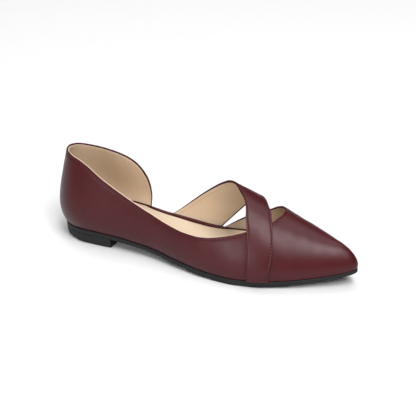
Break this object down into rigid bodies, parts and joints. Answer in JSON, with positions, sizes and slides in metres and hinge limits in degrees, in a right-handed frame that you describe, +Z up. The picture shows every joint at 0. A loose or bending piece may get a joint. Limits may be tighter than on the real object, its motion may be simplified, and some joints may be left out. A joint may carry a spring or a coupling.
{
  "type": "flat shoe",
  "caption": "Women's pointed flat shoe for the right foot, half open on the inner side, with a diagonal instep strap, thin rubber sole and low heel block.",
  "frame": {"origin": "bottom centre of the shoe's box, on the floor it stands on", "axes": "+X towards the toe, +Y towards the inner (medial) side, +Z up"},
  "size_m": [0.2684, 0.0828, 0.0761],
  "materials": {
    "burgundy_leather": "smooth fine-grained burgundy leather, semi-gloss",
    "black_rubber": "matt black rubber with a fine texture",
    "beige_lining": "smooth matt beige lining"
  },
  "bodies": {
    "root": {"outsole": "black_rubber", "heel": "black_rubber", "insole": "beige_lining", "rand": "burgundy_leather", "upper": "burgundy_leather", "cross_strap": "burgundy_leather"}
  },
  "joints": []
}
